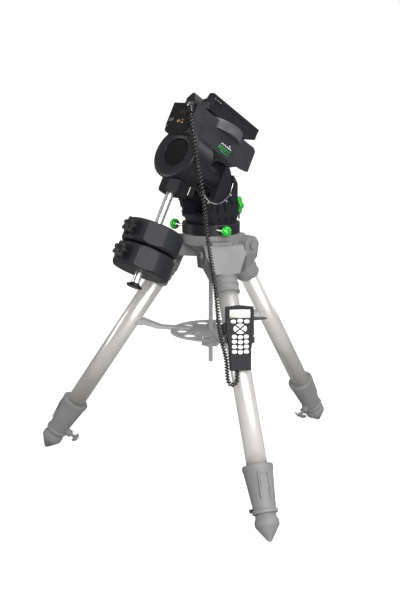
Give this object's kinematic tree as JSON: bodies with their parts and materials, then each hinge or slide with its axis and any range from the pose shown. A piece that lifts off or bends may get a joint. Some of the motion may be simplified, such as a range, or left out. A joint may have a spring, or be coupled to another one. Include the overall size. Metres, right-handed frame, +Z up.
{
  "type": "equatorial mount",
  "caption": "Equatorial telescope mount with counterweights and coiled-cord handset on a steel tube tripod.",
  "frame": {"origin": "on the floor under the azimuth axis, at the middle of the tripod's three feet", "axes": "+Z up along the azimuth axis, -Y towards the pole and the counterweights, +X towards the plain side of the declination head"},
  "size_m": [0.9366, 0.8937, 1.0896],
  "materials": {
    "grey_casting": "matte grey paint on cast aluminium",
    "steel": "plain steel",
    "polished_tube": "polished stainless tube",
    "grey_foot": "matte grey casting on a steel tube",
    "black_plastic": "black moulded plastic",
    "black_casting": "black satin powder coat",
    "dark_panel": "black satin plate",
    "charcoal_ring": "fine knurled charcoal ring",
    "green_anodised": "green anodised aluminium",
    "chrome_shaft": "polished",
    "bronze": "bronze worm wheel",
    "socket_metal": "connector metal",
    "iron_weight": "dark painted iron",
    "cord_black": "black coiled cord",
    "screen_glass": "dark tinted window",
    "handset_plastic": "charcoal moulded plastic",
    "white_keys": "white translucent keys"
  },
  "bodies": {
    "root": {"tripod_hub": "grey_casting", "hinge_bolts": "steel", "centre_rod": "steel", "azimuth_plate": "black_casting"},
    "azimuth_body": {"base_ring": "black_casting", "fork": "black_casting", "fork_screws": "steel"},
    "azimuth_screw_right": {"azimuth_knob_right": "green_anodised"},
    "azimuth_screw_left": {"azimuth_knob_left": "green_anodised"},
    "altitude_screw": {"altitude_knob": "green_anodised"},
    "polar_body": {"ra_housing": "black_casting", "ra_bearings": "steel", "polar_cap": "black_plastic"},
    "ra_worm_body": {"ra_worm": "steel"},
    "equatorial_body": {"ra_drum": "black_casting", "ra_cover": "black_casting", "ra_shaft": "steel", "ra_worm_wheel": "bronze", "cw_block": "black_casting", "cw_shaft": "chrome_shaft", "dec_box": "black_casting", "port_panel": "dark_panel", "panel_sockets": "socket_metal", "dec_bearing": "steel", "cord_plug": "cord_black"},
    "dec_body": {"dec_worm_wheel": "bronze", "dec_shaft": "steel", "dec_ring": "charcoal_ring", "saddle_base": "black_casting"},
    "jaw_body": {"saddle_jaw": "black_casting"},
    "jaw_knob_front": {"saddle_knob_front": "green_anodised"},
    "jaw_knob_rear": {"saddle_knob_rear": "green_anodised"},
    "upper_weight_body": {"upper_weight": "iron_weight"},
    "lower_weight_body": {"lower_weight": "iron_weight"},
    "upper_weight_lock": {"upper_weight_knob": "black_plastic"},
    "lower_weight_lock": {"lower_weight_knob": "black_plastic"},
    "end_stop": {"end_washer": "black_plastic"},
    "tray_body": {"tray": "grey_casting"},
    "tray_nut_body": {"tray_nut": "black_plastic"},
    "arrow_key_body": {"handset_arrow_keys": "white_keys"},
    "digit_key_body": {"handset_digit_keys": "white_keys"},
    "rear_leg": {"rear_leg_top": "grey_casting", "rear_leg_tube": "polished_tube", "rear_leg_clamp": "grey_casting"},
    "rear_extension": {"rear_lower_leg": "grey_foot"},
    "rear_lock": {"rear_leg_lock": "black_plastic"},
    "left_leg": {"left_leg_top": "grey_casting", "left_leg_tube": "polished_tube", "left_leg_clamp": "grey_casting"},
    "left_extension": {"left_lower_leg": "grey_foot"},
    "left_lock": {"left_leg_lock": "black_plastic"},
    "right_leg": {"right_leg_top": "grey_casting", "right_leg_tube": "polished_tube", "right_leg_clamp": "grey_casting", "handset_case": "handset_plastic", "handset_screen": "screen_glass", "handset_holder": "black_plastic", "handset_cord": "cord_black"},
    "right_extension": {"right_lower_leg": "grey_foot"},
    "right_lock": {"right_leg_lock": "black_plastic"}
  },
  "joints": [
    {"name": "azimuth", "type": "hinge", "parent": "root", "child": "azimuth_body", "pos_m": [0, 0, 0.701], "axis": [0, 0, 1], "range_deg": [-8, 8], "deforming": ["handset_cord"]},
    {"name": "azimuth_screw_right_travel", "type": "slide", "parent": "azimuth_body", "child": "azimuth_screw_right", "axis": [1, 0, 0], "range_m": [-0.0064, 0.0064]},
    {"name": "azimuth_screw_left_travel", "type": "slide", "parent": "azimuth_body", "child": "azimuth_screw_left", "axis": [1, 0, 0], "range_m": [-0.0064, 0.0064]},
    {"name": "altitude", "type": "hinge", "parent": "azimuth_body", "child": "polar_body", "pos_m": [0, -0.032, 0.852], "axis": [-1, 0, 0], "range_deg": [-10, 27]},
    {"name": "altitude_knob_turn", "type": "hinge", "parent": "azimuth_body", "child": "altitude_screw", "pos_m": [0, 0.09, 0.768], "axis": [0, 1, 0], "range_deg": [-125, 329]},
    {"name": "right_ascension", "type": "hinge", "parent": "polar_body", "child": "equatorial_body", "pos_m": [0, -0.108, 0.9155], "axis": [0, -0.866, 0.5], "range_deg": [-80, 80]},
    {"name": "ra_worm_turn", "type": "hinge", "parent": "polar_body", "child": "ra_worm_body", "pos_m": [0, -0.14126, 0.87189], "axis": [1, 0, 0], "range_deg": [-11520, 11520]},
    {"name": "declination", "type": "hinge", "parent": "equatorial_body", "child": "dec_body", "pos_m": [0, 0.01492, 0.9704], "axis": [0, 0.5, 0.866], "continuous": true},
    {"name": "saddle_clamp", "type": "slide", "parent": "dec_body", "child": "jaw_body", "axis": [-1, 0, 0], "range_m": [0, 0.012]},
    {"name": "saddle_knob_front_turn", "type": "hinge", "parent": "jaw_body", "child": "jaw_knob_front", "pos_m": [-0.06, -0.01568, 1.0354], "axis": [-1, 0, 0], "range_deg": [0, 435]},
    {"name": "saddle_knob_rear_turn", "type": "hinge", "parent": "jaw_body", "child": "jaw_knob_rear", "pos_m": [-0.06, 0.08651, 0.9764], "axis": [-1, 0, 0], "range_deg": [0, 435]},
    {"name": "upper_weight_slide", "type": "slide", "parent": "equatorial_body", "child": "upper_weight_body", "axis": [0, 0.5, 0.866], "range_m": [0, 0.085]},
    {"name": "lower_weight_slide", "type": "slide", "parent": "equatorial_body", "child": "lower_weight_body", "axis": [0, -0.5, -0.866], "range_m": [0, 0.028]},
    {"name": "upper_weight_lock_turn", "type": "hinge", "parent": "upper_weight_body", "child": "upper_weight_lock", "pos_m": [0, -0.30111, 0.75102], "axis": [0, -0.866, 0.5], "range_deg": [0, 360]},
    {"name": "lower_weight_lock_turn", "type": "hinge", "parent": "lower_weight_body", "child": "lower_weight_lock", "pos_m": [0, -0.33536, 0.6917], "axis": [0, -0.866, 0.5], "range_deg": [0, 360]},
    {"name": "end_stop_turn", "type": "hinge", "parent": "equatorial_body", "child": "end_stop", "pos_m": [0, -0.295, 0.59161], "axis": [0, 0.5, 0.866], "range_deg": [0, 360]},
    {"name": "rear_leg_fold", "type": "hinge", "parent": "root", "child": "rear_leg", "pos_m": [0, 0.11226, 0.65465], "axis": [-1, 0, 0], "range_deg": [0, 4.5]},
    {"name": "rear_leg_extend", "type": "slide", "parent": "rear_leg", "child": "rear_extension", "axis": [0, 0.5534, -0.8329], "range_m": [0, 0.3]},
    {"name": "rear_lock_turn", "type": "hinge", "parent": "rear_leg", "child": "rear_lock", "pos_m": [0, 0.43233, 0.04009], "axis": [0, 0.8329, 0.5534], "range_deg": [-90, 180]},
    {"name": "left_leg_fold", "type": "hinge", "parent": "root", "child": "left_leg", "pos_m": [-0.09722, -0.05613, 0.65465], "axis": [0.5, -0.866, 0], "range_deg": [0, 4.5]},
    {"name": "left_leg_extend", "type": "slide", "parent": "left_leg", "child": "left_extension", "axis": [-0.4793, -0.2767, -0.8329], "range_m": [0, 0.3]},
    {"name": "left_lock_turn", "type": "hinge", "parent": "left_leg", "child": "left_lock", "pos_m": [-0.37441, -0.21616, 0.04009], "axis": [-0.7213, -0.4165, 0.5534], "range_deg": [-90, 180]},
    {"name": "right_leg_fold", "type": "hinge", "parent": "root", "child": "right_leg", "pos_m": [0.09722, -0.05613, 0.65465], "axis": [0.5, 0.866, 0], "range_deg": [0, 4.5]},
    {"name": "right_leg_extend", "type": "slide", "parent": "right_leg", "child": "right_extension", "axis": [0.4793, -0.2767, -0.8329], "range_m": [0, 0.3]},
    {"name": "right_lock_turn", "type": "hinge", "parent": "right_leg", "child": "right_lock", "pos_m": [0.37441, -0.21616, 0.04009], "axis": [0.7213, -0.4165, 0.5534], "range_deg": [-90, 180]},
    {"name": "tray_drop", "type": "slide", "parent": "root", "child": "tray_body", "axis": [0, 0, -1], "range_m": [0, 0.044]},
    {"name": "tray_nut_drop", "type": "slide", "parent": "root", "child": "tray_nut_body", "axis": [0, 0, -1], "range_m": [0, 0.044]},
    {"name": "arrow_key_press", "type": "slide", "parent": "right_leg", "child": "arrow_key_body", "axis": [-0.7269, 0.6545, -0.2079], "range_m": [0, 0.0008], "stiffness_N_per_m": 1500},
    {"name": "digit_key_press", "type": "slide", "parent": "right_leg", "child": "digit_key_body", "axis": [-0.7269, 0.6545, -0.2079], "range_m": [0, 0.0008], "stiffness_N_per_m": 1500}
  ],
  "couplings": [
    {"joint": "azimuth_screw_right_travel", "follows": "azimuth", "m_per_rad": -0.045},
    {"joint": "azimuth_screw_left_travel", "follows": "azimuth", "m_per_rad": -0.045},
    {"joint": "altitude_knob_turn", "follows": "altitude", "ratio": 12},
    {"joint": "ra_worm_turn", "follows": "right_ascension", "ratio": 144},
    {"joint": "saddle_knob_front_turn", "follows": "saddle_clamp", "rad_per_m": 628.3},
    {"joint": "saddle_knob_rear_turn", "follows": "saddle_clamp", "rad_per_m": 628.3},
    {"joint": "left_leg_fold", "follows": "rear_leg_fold", "ratio": 1},
    {"joint": "right_leg_fold", "follows": "rear_leg_fold", "ratio": 1},
    {"joint": "tray_drop", "follows": "rear_leg_fold", "m_per_rad": 0.56},
    {"joint": "tray_nut_drop", "follows": "rear_leg_fold", "m_per_rad": 0.56}
  ]
}
